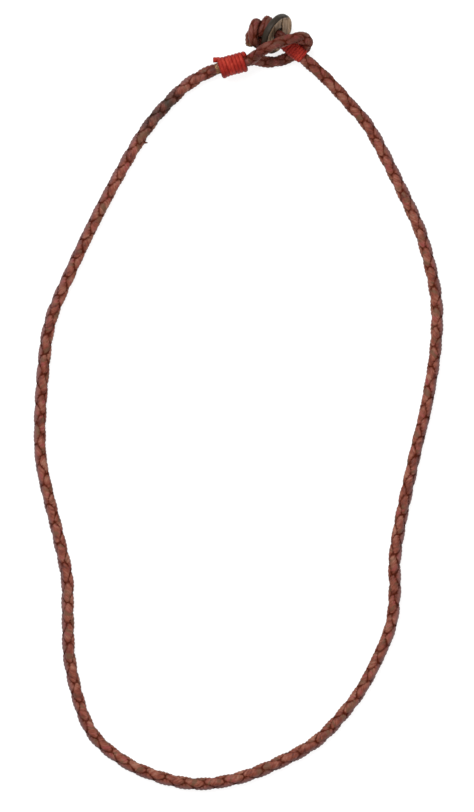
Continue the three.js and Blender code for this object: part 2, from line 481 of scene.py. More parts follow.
@dataclass(frozen=True)
class WaxedLeather:
    """Cowhide lace, drum-dyed red-brown and waxed: satin crests, painted shade in its seams, and a
    painted sheen and shade on its outer side.
    """

    name: str = "waxed_cowhide_lace"
    dark: str = "#4b1b10"
    body: str = "#743827"
    bright: str = "#8b5d4b"
    # Painted shade in the seams between laces.
    seam: str = "#44190d"
    rosy: str = "#7d3532"
    olive: str = "#5e3b27"
    # A painted grey sheen on the outer side.
    outer_sheen: str = "#714e4b"
    clasp_dark: str = "#430f0b"
    # Real stains, and also the painted shade of the seams on the outer side.
    stain_and_seam_shade: str = "#17120d"
    bloom: str = "#2a2214"
    raw: str = "#8e6a4a"
    raw_dark: str = "#4f3322"
    ior: float = 1.5
    roughness: float = 0.52
    # Some patches are polished and others dull: how much smoother and rougher they get.
    polished: float = 0.1
    dulled: float = 0.14
    specular: float = 0.22
    # Stretched skin shows fibres about 0.3 mm apart that run along the lace.
    fibre_width: float = 0.3
    fibre_length: float = 3.0
    # Dye takes unevenly over patches of about 3 mm, and within each plait over patches that are
    # narrower across the lace. It wears in patches a little larger. Pores are about 0.25 mm
    # apart.
    dye_patch: float = 3.0
    plait_patch: float = 2.4
    plait_squeeze: float = 1.6
    wear_scale: float = 0.7
    pore: float = 0.25
    # How far apart two laces' fibres and patches are read, so that no lace repeats another.
    fibres_apart: float = 5.0
    patches_apart: float = 3.0
    # How many finer waves each pattern has, the shares of the fibres and of the plaits in the
    # tone, and where it turns each colour.
    detail: float = 3.0
    fibre_share: float = 0.4
    plait_share: float = 0.35
    tone_stops: Triple = (0.4, 0.5, 0.6)
    # Where each mask begins and where it is full, in the pattern or value that it follows.
    rosy_range: Pair = (0.52, 0.7)
    olive_range: Pair = (0.53, 0.66)
    outer_sheen_range: Pair = (0.2, 0.95)
    sunk_shade_range: Pair = (0.45, 1.1)
    outer_seam_shade_range: Pair = (0.45, 1.3)
    end_range: Pair = (0.4, 0.6)
    # How much the fibres break up the edge of a seam's painted shade.
    seam_fray: float = 0.5
    # The relief: its depth, its strength, and the pores' share of it.
    relief_depth: float = 0.1
    relief_strength: float = 0.6
    pore_share: float = 0.35
    # Where a patch begins to fade and where it is gone, as shares of its reach.
    fade: Pair = (0.9, 1.7)
    # Stains on the neck by the loop: x, y, reach and strength, and the height of them all. On
    # the largest is a small bloom of another colour.
    stain_places: tuple[tuple[float, float, float, float], ...] = (
        (-17.6, 78.0, 3.6, 0.6),
        (-21.2, 74.4, 3.2, 0.7),
        (-23.7, 71.2, 2.2, 0.7),
        (-25.2, 68.8, 1.8, 0.65),
        (-8.5, 86.0, 1.4, 0.5),
        (-13.6, 82.6, 1.2, 0.4),
    )
    stain_height: float = 1.5
    bloom_place: Triple = (-18.0, 77.6, 2.2)
    bloom_reach: float = 1.5
    bloom_strength: float = 0.9
    # How much lighter the side towards the neck and darker the outer side are painted: painted light
    # and shade.
    inner_side_light: float = 0.04
    # The leather round the button is darker: the middle of that, and how far it
    # reaches and how dark it is, for the clasp and for the neck near it.
    clasp_dark_place: Triple = (9.0, 94.0, 8.0)
    clasp_dark_reaches: tuple[Pair, ...] = ((10.0, 0.5), (36.0, 0.22))

    def build(self) -> bpy.types.Material:
        """Makes the material.

        Returns:
            The new material.
        """
        material, tree, shader = new_material(self.name)
        lace = add_node(tree, "ShaderNodeAttribute", attribute_name="lace").outputs["Vector"]
        seam, side, cut = (
            add_node(tree, "ShaderNodeAttribute", attribute_name=label).outputs["Fac"]
            for label in ("seam", "side", "cut")
        )
        place = add_node(tree, "ShaderNodeTexCoord").outputs["Object"]
        millimetres = add_node(
            tree, "ShaderNodeVectorMath", {0: place, 3: 1 / MM}, operation="SCALE"
        ).outputs["Vector"]
        squeezed = self.plait_squeeze / self.plait_patch
        fibre_grid, plait_grid = (
            add_node(tree, "ShaderNodeMapping", {"Vector": lace, "Scale": scale}).outputs["Vector"]
            for scale in (
                (1 / self.fibre_length, 1 / self.fibre_width, self.fibres_apart),
                (1 / self.plait_patch, squeezed, self.patches_apart),
            )
        )
        fibres, dye, plaits, wear = (
            add_node(
                tree, "ShaderNodeTexNoise", {"Vector": grid, "Scale": scale, "Detail": self.detail}
            ).outputs["Fac"]
            for grid, scale in (
                (fibre_grid, 1.0),
                (millimetres, 1 / self.dye_patch),
                (plait_grid, 1.0),
                (plait_grid, self.wear_scale),
            )
        )
        tone = dye
        for share, pattern in ((self.fibre_share, fibres), (self.plait_share, plaits)):
            tone = add_node(
                tree, "ShaderNodeMix", {0: share, 2: tone, 3: pattern}, data_type="FLOAT"
            ).outputs[0]
        # Painted light and shade: the side towards the neck is a little lighter, the outer side darker.
        tone = add_node(
            tree, "ShaderNodeMath", {0: side, 1: -self.inner_side_light, 2: tone}, operation="MULTIPLY_ADD"
        ).outputs[0]
        tones = map(linear, (self.dark, self.body, self.bright))
        colour = add_node(
            tree, "ShaderNodeValToRGB", {"Fac": tone}, stops=tuple(zip(self.tone_stops, tones))
        ).outputs["Color"]

        depth = add_node(
            tree,
            "ShaderNodeMath",
            {0: fibres, 1: self.seam_fray, 2: seam},
            operation="MULTIPLY_ADD",
        ).outputs[0]
        rosy, olive, outer_sheen, sunk_shade, outer, end_grain = (
            add_node(
                tree,
                "ShaderNodeMapRange",
                {"Value": value, "From Min": start, "From Max": full},
                interpolation_type="SMOOTHSTEP",
            ).outputs["Result"]
            for value, (start, full) in (
                (plaits, self.rosy_range),
                (wear, self.olive_range),
                (side, self.outer_sheen_range),
                (depth, self.sunk_shade_range),
                (side, self.outer_seam_shade_range),
                (fibres, self.end_range),
            )
        )
        # On the outer side the seams' painted shade turns near-black.
        seam_shade_colour, ends = (
            add_node(
                tree,
                "ShaderNodeMix",
                {0: mask, 6: linear(first), 7: linear(second)},
                data_type="RGBA",
            ).outputs[2]
            for mask, first, second in (
                (outer, self.seam, self.stain_and_seam_shade), (end_grain, self.raw_dark, self.raw),
            )
        )
        # Some plaits took the dye rosy and some have rubbed back towards olive. A painted grey sheen
        # lies on the outer side, and painted shade darkens a lace where it goes under its neighbour.
        worn = ((rosy, self.rosy), (olive, self.olive), (outer_sheen, self.outer_sheen))
        layers = [(mask, linear(tint)) for mask, tint in worn]
        for reach, strength in self.clasp_dark_reaches:
            mask = self._patch(tree, millimetres, self.clasp_dark_place, reach, strength, fibres)
            layers += [(mask, linear(self.clasp_dark))]
        layers += [(sunk_shade, seam_shade_colour)]
        for x, y, reach, strength in self.stain_places:
            middle = (x, y, self.stain_height)
            mask = self._patch(tree, millimetres, middle, reach, strength, dye)
            layers += [(mask, linear(self.stain_and_seam_shade))]
        mask = self._patch(
            tree, millimetres, self.bloom_place, self.bloom_reach, self.bloom_strength, fibres
        )
        layers += [(mask, linear(self.bloom)), (cut, ends)]
        for mask, layer in layers:
            colour = add_node(
                tree, "ShaderNodeMix", {0: mask, 6: colour, 7: layer}, data_type="RGBA"
            ).outputs[2]

        smooth, rough = self.roughness - self.polished, self.roughness + self.dulled
        polish = add_node(
            tree, "ShaderNodeMapRange", {"Value": dye, "To Min": smooth, "To Max": rough}
        ).outputs["Result"]
        pores = add_node(
            tree, "ShaderNodeTexVoronoi", {"Vector": millimetres, "Scale": 1 / self.pore}
        ).outputs["Distance"]
        relief = add_node(
            tree, "ShaderNodeMix", {0: self.pore_share, 2: fibres, 3: pores}, data_type="FLOAT"
        ).outputs[0]
        strength, reach = self.relief_strength, self.relief_depth * MM
        bump = add_node(
            tree, "ShaderNodeBump", {"Height": relief, "Strength": strength, "Distance": reach}
        ).outputs["Normal"]
        # The painted seam shade also takes the shine out of the seams.
        shine = add_node(
            tree,
            "ShaderNodeMath",
            {0: sunk_shade, 1: -self.specular, 2: self.specular},
            operation="MULTIPLY_ADD",
        ).outputs[0]
        shader.inputs["Specular IOR Level"].default_value = self.specular
        looks = {"Base Color": colour, "Roughness": polish, "Normal": bump, "IOR": self.ior}
        set_inputs(tree, shader, looks | {"Specular IOR Level": shine})
        return material

    def _patch(
        self,
        tree: bpy.types.NodeTree,
        millimetres: bpy.types.NodeSocket,
        centre: Triple,
        reach: float,
        strength: float,
        edge: bpy.types.NodeSocket,
    ) -> bpy.types.NodeSocket:
        """Masks a round patch with an uneven edge.

        Args:
            tree: The node tree to add it to.
            millimetres: The place on the piece.
            centre: The middle of the patch.
            reach: How far from there it fades out.
            strength: Its mask at its darkest.
            edge: A noise that breaks its edge up.

        Returns:
            The mask.
        """
        gap = add_node(
            tree, "ShaderNodeVectorMath", {0: millimetres, 1: centre}, operation="DISTANCE"
        ).outputs["Value"]
        uneven = add_node(
            tree, "ShaderNodeMath", {0: edge, 1: reach, 2: gap}, operation="MULTIPLY_ADD"
        ).outputs[0]
        start, gone = (reach * share for share in self.fade)
        return add_node(
            tree,
            "ShaderNodeMapRange",
            {"Value": uneven, "From Min": start, "From Max": gone, "To Min": strength, "To Max": 0.0},
            interpolation_type="SMOOTHSTEP",
        ).outputs["Result"]


@dataclass(frozen=True)
class WaxedLinen:
    """Linen thread, laid up from plies and waxed: matt red with a dull shine on its crests, and painted
    shade in its grooves.
    """

    name: str = "waxed_linen_thread"
    dark: str = "#6c1209"
    body: str = "#8e2015"
    bright: str = "#a83827"
    ior: float = 1.5
    roughness: float = 0.62
    specular: float = 0.14
    # Flax fibres show as fine streaks along each ply, about 0.12 mm apart. The dye is blotchy
    # over about 2 mm, which makes half of the tone.
    fibre_width: float = 0.12
    fibre_length: float = 1.2
    blotch: float = 2.0
    blotch_share: float = 0.5
    detail: float = 2.0
    tone_stops: Triple = (0.36, 0.5, 0.66)
    relief_depth: float = 0.05
    relief_strength: float = 0.45

    def build(self) -> bpy.types.Material:
        """Makes the material.

        Returns:
            The new material.
        """
        material, tree, shader = new_material(self.name)
        ply, groove_shade = (
            add_node(tree, "ShaderNodeAttribute", attribute_name=label).outputs[socket]
            for label, socket in (("ply", "Vector"), ("groove_shade", "Fac"))
        )
        place = add_node(tree, "ShaderNodeTexCoord").outputs["Object"]
        streak_grid = add_node(
            tree,
            "ShaderNodeMapping",
            {"Vector": ply, "Scale": (1 / self.fibre_length, 1 / self.fibre_width, 1.0)},
        ).outputs["Vector"]
        streaks, blotches = (
            add_node(
                tree, "ShaderNodeTexNoise", {"Vector": grid, "Scale": scale, "Detail": self.detail}
            ).outputs["Fac"]
            for grid, scale in ((streak_grid, 1.0), (place, 1 / (self.blotch * MM)))
        )
        tone = add_node(
            tree, "ShaderNodeMix", {0: self.blotch_share, 2: streaks, 3: blotches}, data_type="FLOAT"
        ).outputs[0]
        tones = map(linear, (self.dark, self.body, self.bright))
        lit = add_node(
            tree, "ShaderNodeValToRGB", {"Fac": tone}, stops=tuple(zip(self.tone_stops, tones))
        ).outputs["Color"]
        # Painted shade darkens the grooves between plies and between turns.
        colour = add_node(
            tree, "ShaderNodeMix", {0: groove_shade, 6: lit, 7: linear(self.dark)}, data_type="RGBA"
        ).outputs[2]
        strength, reach = self.relief_strength, self.relief_depth * MM
        bump = add_node(
            tree, "ShaderNodeBump", {"Height": streaks, "Strength": strength, "Distance": reach}
        ).outputs["Normal"]
        looks = {"Base Color": colour, "Roughness": self.roughness, "Normal": bump}
        set_inputs(tree, shader, looks | {"IOR": self.ior, "Specular IOR Level": self.specular})
        return material


@dataclass(frozen=True)
class WornHorn:
    """Cattle horn, sawn and polished by wear: translucent-looking streaks, soot in its cracks, and
    painted shade and soot in its hollows.
    """

    name: str = "worn_cattle_horn"
    dark: str = "#46301b"
    body: str = "#8f7559"
    bright: str = "#b69a7d"
    edge: str = "#271f16"
    soot_and_shade_tint: str = "#24160b"
    ior: float = 1.55
    roughness: float = 0.42
    specular: float = 0.16
    # Horn grows in layers, cut here into streaks about 0.5 mm apart that run across the face.
    streak_width: float = 0.5
    streak_length: float = 6.0
    streak_detail: float = 4.0
    streak_coarseness: float = 0.6
    streak_bend: float = 0.4
    tone_stops: Triple = (0.3, 0.46, 0.68)
    relief_depth: float = 0.12
    relief_strength: float = 0.5
    # The streaks polish unevenly: how much smoother and rougher they get.
    polished: float = 0.1
    dulled: float = 0.15

    def build(self) -> bpy.types.Material:
        """Makes the material.

        Returns:
            The new material.
        """
        material, tree, shader = new_material(self.name)
        grain, soot_and_shade, rim = (
            add_node(tree, "ShaderNodeAttribute", attribute_name=label).outputs[socket]
            for label, socket in (("grain", "Vector"), ("soot_and_shade", "Fac"), ("rim", "Fac"))
        )
        grid = add_node(
            tree,
            "ShaderNodeMapping",
            {
                "Vector": grain,
                "Scale": (1 / self.streak_width, 1 / self.streak_length, 1 / self.streak_width),
            },
        ).outputs["Vector"]
        streaks = add_node(
            tree,
            "ShaderNodeTexNoise",
            {
                "Vector": grid,
                "Scale": 1.0,
                "Detail": self.streak_detail,
                "Roughness": self.streak_coarseness,
                "Distortion": self.streak_bend,
            },
        ).outputs["Fac"]
        tones = map(linear, (self.dark, self.body, self.bright))
        colour = add_node(
            tree, "ShaderNodeValToRGB", {"Fac": streaks}, stops=tuple(zip(self.tone_stops, tones))
        ).outputs["Color"]
        for mask, tint in ((rim, self.edge), (soot_and_shade, self.soot_and_shade_tint)):
            colour = add_node(
                tree, "ShaderNodeMix", {0: mask, 6: colour, 7: linear(tint)}, data_type="RGBA"
            ).outputs[2]
        strength, reach = self.relief_strength, self.relief_depth * MM
        bump = add_node(
            tree, "ShaderNodeBump", {"Height": streaks, "Strength": strength, "Distance": reach}
        ).outputs["Normal"]
        smooth, rough = self.roughness - self.polished, self.roughness + self.dulled
        polish = add_node(
            tree, "ShaderNodeMapRange", {"Value": streaks, "To Min": smooth, "To Max": rough}
        ).outputs["Result"]
        looks = {"Base Color": colour, "Roughness": polish, "Normal": bump, "IOR": self.ior}
        set_inputs(tree, shader, looks | {"Specular IOR Level": self.specular})
        return material


@dataclass(frozen=True)
class OpalAcrylic:
    """Opal acrylic sheet, lit softly from behind: an even white with hardly a shadow on it."""

    name: str = "lit_opal_acrylic"
    tone: str = "#8c8c8c"
    glow_tone: str = "#ffffff"
    glow: float = 0.8
    roughness: float = 0.8

    def build(self) -> bpy.types.Material:
        """Makes the material.

        Returns:
            The new material.
        """
        material, tree, shader = new_material(self.name)
        looks = {"Base Color": linear(self.tone), "Roughness": self.roughness}
        glow = {"Emission Color": linear(self.glow_tone), "Emission Strength": self.glow}
        set_inputs(tree, shader, looks | glow)
        return material


# Sub-assemblies


class Hand(Enum):
    """Which way round the cord a lace runs."""

    RIGHT = 1
    LEFT = -1


@dataclass
class Lace:
    """One flat lace of the braid, laid over one neighbour and under the next.

    Args:
        hand: Which way round the cord it runs.
        start: Its angle where the cord begins.
        index: Its number, for its own unevenness.
    """

    hand: Hand
    start: float
    index: int
    # The length of cord in which it goes once round, then the lace's section, and the radius of
    # its middle layer: on average, and how far it rises and dives from there.
    lay: float = 10.5
    width: float = 5.2
    thickness: float = 0.8
    middle: float = 0.8
    rise: float = 0.45
    # How steeply it dives, and how much longer it stays up than down.
    steepness: float = 1.0
    bias: float = 0.3
    # How far it bulges where its own column of plaits runs.
    bulge: float = 0.15
    crown: float = 1.1
    crown_power: float = 4.5
    # How proud of its neighbours it has to stand to be free of painted seam shade, and how dark
    # that painted shade is on average.
    shade_depth: float = 0.38
    seam_shade_strength: float = 0.85
    # Its faults: it slips sideways, is pulled tighter and slacker, was cut wider and narrower,
    # and its painted seam shade is darker in some places. That changes faster across the lace than
    # along it.
    slip: Unevenness = Unevenness(0.07, 17, 21)
    pull: Unevenness = Unevenness(0.12, 23, 31)
    trim: Unevenness = Unevenness(0.05, 31, 11)
    shade_wander: Unevenness = Unevenness(0.15, 6, 41)
    shade_wander_skew: float = 3.0

    # Where the section's points lie, as shares of half its width, over its top and back below.
    TOP = (-1.0, -0.93, -0.77, -0.53, -0.27, 0.0, 0.27, 0.53, 0.77, 0.93, 1.0)
    UNDER = (0.8, -0.8)

    @property
    def turn(self) -> float:
        """Radians round the cord for each millimetre along it."""
        return 2 * math.pi / self.lay

    @property
    def outer(self) -> float:
        """The radius of its middle layer at its highest."""
        return self.middle + self.rise

    @property
    def slant(self) -> float:
        """The angle between the lace and the cord."""
        return math.atan(self.outer * self.turn)

    @property
    def spacing(self) -> float:
        """The distance square across from one lace to the next of its hand."""
        return self.lay / 2 * math.sin(self.slant)

    def drift(self, places: np.ndarray) -> np.ndarray:
        """How far it has slipped sideways."""
        return self.slip.at(places, self.index)

    def angle(self, places: np.ndarray, lateral: np.ndarray) -> np.ndarray:
        """Its angle round the cord, for distances along the cord and across the lace."""
        run = self.start + self.hand.value * self.turn * places
        return run + (lateral + self.drift(places)) / (self.outer * math.cos(self.slant))

    def lateral(self, places: np.ndarray, angle: np.ndarray) -> np.ndarray:
        """The distance across the lace at an angle round the cord.

        Args:
            places: Distances along the cord.
            angle: Angles round it.

        Returns:
            The distance at each point, from the lace's middle.
        """
        run = angle - self.start - self.hand.value * self.turn * places
        wrapped = (run + math.pi) % (2 * math.pi) - math.pi
        return wrapped * self.outer * math.cos(self.slant) - self.drift(places)

    def layer(self, places: np.ndarray, lateral: np.ndarray) -> np.ndarray:
        """The radius of its middle layer, as it goes over and under.

        Args:
            places: Distances along the cord.
            lateral: The distance across the lace.

        Returns:
            The radius at each point.
        """
        phase = (
            self.hand.value * 2 * self.turn * places
            + 2 * self.turn * math.sin(self.slant) * lateral
            + math.pi / self.spacing * math.cos(2 * self.slant) * lateral
            + (0.0 if self.hand is Hand.RIGHT else math.pi)
        )
        wave = np.tanh(self.steepness * (np.cos(phase) + self.bias))
        tension = 1 + self.pull.at(places, self.index)
        column = np.cos(2 * self.angle(places, lateral))
        return self.middle + self.hand.value * self.bulge * column + self.rise * tension * wave

    def top(self, places: np.ndarray, lateral: np.ndarray) -> np.ndarray:
        """The radius of its crowned top, or nothing past its edges.

        Args:
            places: Distances along the cord.
            lateral: The distance across the lace.

        Returns:
            The radius at each point.
        """
        share = np.abs(lateral) / (self.width / 2)
        crown = self.thickness / 2 * (1 - self.crown * share**self.crown_power)
        return np.where(share <= 1, self.layer(places, lateral) + crown, 0.0)

    def seam(self, places: np.ndarray, lateral: np.ndarray, proud: np.ndarray) -> np.ndarray:
        """How much painted shade it has, from nothing to one in the seams.

        Args:
            places: Distances along the cord.
            lateral: The distance across the lace.
            proud: How far it stands over its neighbours there.

        Returns:
            The painted shade at each point.
        """
        uneven = self.seam_shade_strength + self.shade_wander.at(places + self.shade_wander_skew * lateral, self.index)
        return uneven * np.clip(1 - proud / self.shade_depth, 0, 1)


@dataclass
class BraidedCord:
    """One round braid of four leather laces: the loop, the neck, the bound end and the knot."""

    diameter: float = 3.0
    bound_diameter: float = 2.15
    knot_diameter: float = 2.35
    loop_diameter: float = 2.7
    # It is a little over full size round the loop's bight.
    bight_share: float = 1.05
    # Where its size changes: within these distances of the bight's middle and of the neck's
    # start, and between these after the binding's start and after the button's middle.
    bight_change: Pair = (2.0, 6.0)
    neck_change: float = 3.0
    bound_change: Pair = (-0.4, 1.6)
    knot_change: Pair = (1.2, 3.0)
    # How far its tightest bends are eased, how far apart its sections are, and the core's size
    # as a share of the cord's, with the distance that it keeps from the ends.
    softening: float = 0.6
    station: float = 0.36
    core_share: float = 0.42
    core_inset: float = 0.3
    # The braid rolls slowly over and back again round the neck: degrees, and the length of it.
    roll_middle: float = -20.0
    roll_swing: float = 95.0
    roll_wave: float = 400.0
    # Where along the neck its first crossing lies, and how far the roll goes on.
    first_crossing: float = 2.1
    rolled_length: float = 440.0
    laces: tuple[Lace, ...] = (
        Lace(Hand.RIGHT, 0.0, 0),
        Lace(Hand.RIGHT, math.pi, 1),
        Lace(Hand.LEFT, 0.0, 2),
        Lace(Hand.LEFT, math.pi, 3),
    )
    # Where the painted sheen and shade show on its outer side: distances along the neck, and how much.
    outer_sheen_stretch: tuple[Pair, ...] = (
        (0.0, 0.0), (8.0, 1.0), (425.0, 1.0), (445.0, 0.2), (450.0, 0.0),
    )
    # How far raw leather shows from a cut end, how ragged that is, and how far apart two laces
    # read their raggedness.
    cut_length: float = 1.6
    ragged: Unevenness = Unevenness(0.5, 7, 3)
    ragged_apart: float = 2.1
    # One lace has frayed: how far along the neck, its angle, and the fray's length. Its root
    # lies at a share of the cord's diameter, and it leans back by a share of its length. Its
    # half width and half thickness go down by a power of what is left of it.
    fray_place: float = 27.2
    fray_angle: float = -1.25
    fray_length: float = 1.3
    fray_root: float = 0.42
    fray_lean: float = 0.35
    fray_halves: Pair = (0.45, 0.2)
    fray_end: float = 1.03
    fray_thinning: float = 0.7
    # How much of the seams' darker colour the sliver takes.
    fray_darkening: float = 0.6
    name: str = "braided_cord"

    CORE_SIDES = 8
    FRAY_SIDES = 6
    FRAY_RINGS = 6
    PATH_STEP = 5
    # A trefoil passes through its ring three times while it goes round it twice. Two of the
    # passes are wound here, and the lead and the tail make the third.
    KNOT_PASSES = 3
    KNOT_ROUNDS = 2
    PASSES_WOUND = 2
    POINTS_A_PASS = 8

    def knot_points(self) -> list[np.ndarray]:
        """Winds a trefoil round a ring, opened between its lead and its tail.

        Returns:
            Points along it.
        """
        away = direction(BUTTON_HEADING + math.pi, -KNOT_DIP)
        across = unit(np.cross(away, UP))
        over = unit(np.cross(across, away))
        points = []
        for index in range(1, self.PASSES_WOUND * self.POINTS_A_PASS + 1):
            turned = math.pi + index * 2 * math.pi / self.POINTS_A_PASS
            turn = KNOT_ROLL + (turned - math.pi) * self.KNOT_ROUNDS / self.KNOT_PASSES
            radius = KNOT_RING_RADIUS + KNOT_PASS_RADIUS * math.cos(turned)
            points.append(
                np.array(KNOT_CENTRE)
                - away * KNOT_PASS_RADIUS * math.sin(turned)
                + across * radius * math.cos(turn)
                + over * radius * math.sin(turn)
            )
        return points

    def centreline(self) -> Centreline:
        """Joins the routes into one line.

        Returns:
            The cord's middle, from the loop's cut end to the knot's.
        """
        route = [
            *LOOP_ROUTE[::-1],
            *NECK_ROUTE,
            *BOUND_ROUTE[1:],
            BUTTON_CENTRE,
            *KNOT_LEAD,
            *self.knot_points(),
            *KNOT_TAIL,
        ]
        return Centreline(smooth_line(route), softening=self.softening)

    def scale_along(self, line: Centreline, places: np.ndarray) -> np.ndarray:
        """How far the braid is squeezed, as a share of its full size.

        Args:
            line: The cord's middle.
            places: Distances along it.

        Returns:
            The share at each place.
        """
        looped, bound, knotted = (
            size / self.diameter
            for size in (self.loop_diameter, self.bound_diameter, self.knot_diameter)
        )
        bight, neck, start, button = map(
            line.near, (LOOP_BIGHT, NECK_ROUTE[0], BOUND_ROUTE[0], BUTTON_CENTRE)
        )
        inner, outer = self.bight_change
        changes = (
            (bight - outer, looped),
            (bight - inner, self.bight_share),
            (bight + inner, self.bight_share),
            (bight + outer, looped),
            (neck - self.neck_change, looped),
            (neck + self.neck_change, 1.0),
            (start + self.bound_change[0], 1.0),
            (start + self.bound_change[1], bound),
            (button + self.knot_change[0], bound),
            (button + self.knot_change[1], knotted),
        )
        marks, shares = zip(*changes)
        return np.interp(places, marks, shares)

    def build(self, leather: bpy.types.Material) -> bpy.types.Object:
        """Args:
            leather: The laces' finish.

        Returns:
            The cord's object.
        """
        line = self.centreline()
        places = np.linspace(0, line.length, round(line.length / self.station) + 1)
        skin = Skin()
        for lace in self.laces:
            self._lay(skin, line, places, lace)
        self._add_core(skin, line)
        self._add_fray(skin, line)
        piece = skin.build(self.name, leather)
        place_piece(piece, ("neck_cord", "closing_loop", "knotted_end"))
        return piece

    def roll(self, run: np.ndarray) -> np.ndarray:
        """How far the braid has rolled over, for distances along the neck, in radians."""
        turned = np.clip(run, 0, self.rolled_length) / self.roll_wave
        return np.radians(self.roll_middle + self.roll_swing * np.cos(2 * math.pi * turned))

    def _ring(
        self, line: Centreline, places: np.ndarray, angle: np.ndarray, radius: np.ndarray
    ) -> np.ndarray:
        """Sets points round the cord's middle, squeezed as the cord is."""
        return line.rings(places, angle, radius * self.scale_along(line, places)[:, None])

    def _lay(self, skin: Skin, line: Centreline, places: np.ndarray, lace: Lace) -> None:
        """Adds one lace, and notes how proud of its neighbours it stands.

        Args:
            skin: The surface to add it to.
            line: The cord's middle.
            places: Distances along it.
            lace: The lace.
        """
        run = (places - line.near(NECK_ROUTE[0]))[:, None]
        laid = run - self.first_crossing
        roll = self.roll(run)
        width = lace.width * (1 + lace.trim.at(laid, lace.index))
        top = np.array(lace.TOP) * width / 2
        under = np.array(lace.UNDER) * width / 2
        across = np.hstack([top, under])
        angle = lace.angle(laid, across)
        above = lace.top(laid, top * lace.width / width)
        below = lace.layer(laid, under) - lace.thickness / 2
        radius = np.hstack([above, below])
        others = [
            other.top(laid, other.lateral(laid, angle)) for other in self.laces if other is not lace
        ]
        proud = radius - np.max(others, axis=0)
        proud[:, len(lace.TOP) :] = -1
        from_end = np.minimum(places, places[-1] - places)[:, None]
        ragged = from_end + self.ragged.at(lace.index * self.ragged_apart + 0 * laid)
        blank = 0 * across
        along = laid / math.cos(lace.slant) + blank
        # The outer side carries the painted sheen and shade, over the stretch of neck listed.
        marks, sheen_share = zip(*self.outer_sheen_stretch)
        values = {
            "lace": np.stack([along, across, blank + lace.index], -1),
            "seam": lace.seam(laid, across, proud),
            "side": np.sin(angle + roll) * np.interp(run, marks, sheen_share),
            "cut": np.clip(self.cut_length - ragged, 0, 1) + blank,
        }
        skin.add_tube(self._ring(line, places, angle + roll, radius), values)

    def _add_core(self, skin: Skin, line: Centreline) -> None:
        """Fills the hollow between the laces, so that no light shows through the braid.

        Args:
            skin: The surface to add it to.
            line: The cord's middle.
        """
        places = np.linspace(self.core_inset, line.length - self.core_inset, round(line.length))
        angle = np.arange(self.CORE_SIDES) * 2 * math.pi / self.CORE_SIDES + 0 * places[:, None]
        rings = self._ring(line, places, angle, self.core_share * self.diameter / 2 + 0 * angle)
        blank = np.zeros(rings.shape[:2])
        # The core, hidden between the laces, takes the full painted seam shade.
        skin.add_tube(rings, {"lace": rings, "seam": blank + 1, "side": blank, "cut": blank})

    def _add_fray(self, skin: Skin, line: Centreline) -> None:
        """Adds the sliver of leather that stands off where a lace has frayed.

        Args:
            skin: The surface to add it to.
            line: The cord's middle.
        """
        place = np.array([line.near(NECK_ROUTE[0]) + self.fray_place])
        middle, along, normal, side = (value[0] for value in line.at(place))
        out = math.cos(self.fray_angle) * normal + math.sin(self.fray_angle) * side
        root = middle + out * self.diameter * self.fray_root
        reach = np.linspace(0, 1, self.FRAY_RINGS)[:, None]
        spine = root + self.fray_length * (reach * out - self.fray_lean * reach**2 * along)
        angle = np.arange(self.FRAY_SIDES)[:, None] * 2 * math.pi / self.FRAY_SIDES
        wide, thick = self.fray_halves
        flat = wide * np.cos(angle) * along + thick * np.sin(angle) * normal
        left = (self.fray_end - reach)[..., None] ** self.fray_thinning
        rings = spine[:, None] + flat[None] * left
        blank = np.zeros(rings.shape[:2])
        values = {"lace": rings, "seam": blank + self.fray_darkening, "side": blank, "cut": blank}
        skin.add_tube(rings, values)


